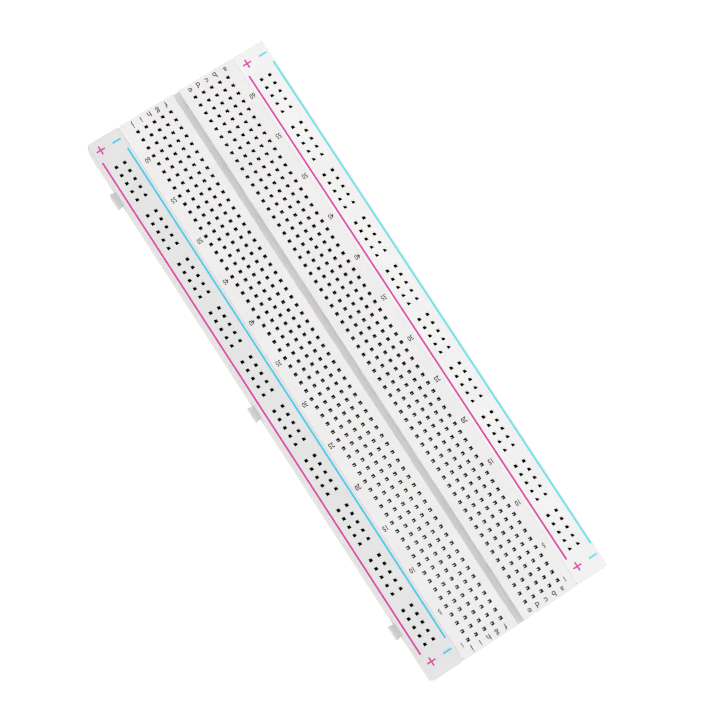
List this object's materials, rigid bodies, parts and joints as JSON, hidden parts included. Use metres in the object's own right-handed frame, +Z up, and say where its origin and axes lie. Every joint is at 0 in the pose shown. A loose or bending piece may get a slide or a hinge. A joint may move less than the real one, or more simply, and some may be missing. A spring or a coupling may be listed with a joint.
{
  "type": "solderless breadboard",
  "caption": "White solderless breadboard: a terminal strip with a centre groove between two dovetailed bus strips, spring contacts inside, and foam pads with paper liners below.",
  "frame": {"origin": "on the table, under the centre of the hole grid, midway between columns e and f at row 32", "axes": "+X along the board towards row 1, +Y across it towards column a and the back bus strip, +Z up out of the contact holes"},
  "size_m": [0.1654, 0.0563, 0.0085],
  "materials": {
    "housing_plastic": "fine satin texture on moulded plastic",
    "contact_metal": "nickel-plated spring metal",
    "foam": "matt closed-cell foam",
    "liner_paper": "smooth silicone-coated paper",
    "ink_magenta": "thin printed ink",
    "ink_cyan": "thin printed ink",
    "ink_grey": "thin printed ink"
  },
  "bodies": {
    "back_bus_strip": {"back_bus_housing": "housing_plastic", "back_bus_plus_contact": "contact_metal", "back_bus_minus_contact": "contact_metal", "back_bus_foam_pad": "foam", "back_bus_liner": "liner_paper"},
    "terminal_strip": {"terminal_housing": "housing_plastic", "terminal_foam_pad": "foam", "terminal_liner": "liner_paper", "clips_ae_rows_01_03": "contact_metal", "clips_ae_rows_04_06": "contact_metal", "clips_ae_rows_07_09": "contact_metal", "clips_ae_rows_10_12": "contact_metal", "clips_ae_rows_13_15": "contact_metal", "clips_ae_rows_16_18": "contact_metal", "clips_ae_rows_19_21": "contact_metal", "clips_ae_rows_22_24": "contact_metal", "clips_ae_rows_25_27": "contact_metal", "clips_ae_rows_28_30": "contact_metal", "clips_ae_rows_31_33": "contact_metal", "clips_ae_rows_34_36": "contact_metal", "clips_ae_rows_37_39": "contact_metal", "clips_ae_rows_40_42": "contact_metal", "clips_ae_rows_43_45": "contact_metal", "clips_ae_rows_46_48": "contact_metal", "clips_ae_rows_49_51": "contact_metal", "clips_ae_rows_52_54": "contact_metal", "clips_ae_rows_55_57": "contact_metal", "clips_ae_rows_58_60": "contact_metal", "clips_ae_rows_61_63": "contact_metal", "clips_fj_rows_01_03": "contact_metal", "clips_fj_rows_04_06": "contact_metal", "clips_fj_rows_07_09": "contact_metal", "clips_fj_rows_10_12": "contact_metal", "clips_fj_rows_13_15": "contact_metal", "clips_fj_rows_16_18": "contact_metal", "clips_fj_rows_19_21": "contact_metal", "clips_fj_rows_22_24": "contact_metal", "clips_fj_rows_25_27": "contact_metal", "clips_fj_rows_28_30": "contact_metal", "clips_fj_rows_31_33": "contact_metal", "clips_fj_rows_34_36": "contact_metal", "clips_fj_rows_37_39": "contact_metal", "clips_fj_rows_40_42": "contact_metal", "clips_fj_rows_43_45": "contact_metal", "clips_fj_rows_46_48": "contact_metal", "clips_fj_rows_49_51": "contact_metal", "clips_fj_rows_52_54": "contact_metal", "clips_fj_rows_55_57": "contact_metal", "clips_fj_rows_58_60": "contact_metal", "clips_fj_rows_61_63": "contact_metal"},
    "front_bus_strip": {"front_bus_housing": "housing_plastic", "front_bus_plus_contact": "contact_metal", "front_bus_minus_contact": "contact_metal", "front_bus_foam_pad": "foam", "front_bus_liner": "liner_paper"}
  },
  "joints": [
    {"name": "terminal_strip_lift", "type": "slide", "parent": "back_bus_strip", "child": "terminal_strip", "axis": [0, 0, 1], "range_m": [0, 0.005]},
    {"name": "front_bus_strip_lift", "type": "slide", "parent": "terminal_strip", "child": "front_bus_strip", "axis": [0, 0, 1], "range_m": [0, 0.005]}
  ]
}
